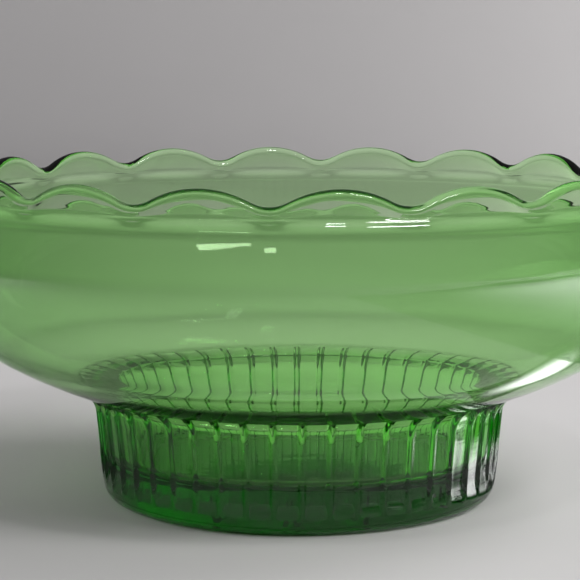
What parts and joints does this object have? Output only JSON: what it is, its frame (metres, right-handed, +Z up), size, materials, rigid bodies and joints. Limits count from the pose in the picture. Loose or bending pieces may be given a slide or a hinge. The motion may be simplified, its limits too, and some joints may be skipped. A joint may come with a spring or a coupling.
{
  "type": "footed glass dish",
  "caption": "Pressed green glass dish: a wide round bowl with a scalloped rim on a ribbed foot with a deep round well.",
  "frame": {"origin": "centre of the ring that the foot stands on", "axes": "+Z up the axis of the dish, -Y the front"},
  "size_m": [0.191, 0.191, 0.088],
  "materials": {
    "green_glass": "fire-polished pressed glass"
  },
  "bodies": {
    "root": {"bowl": "green_glass", "ribbed_foot": "green_glass"}
  },
  "joints": []
}
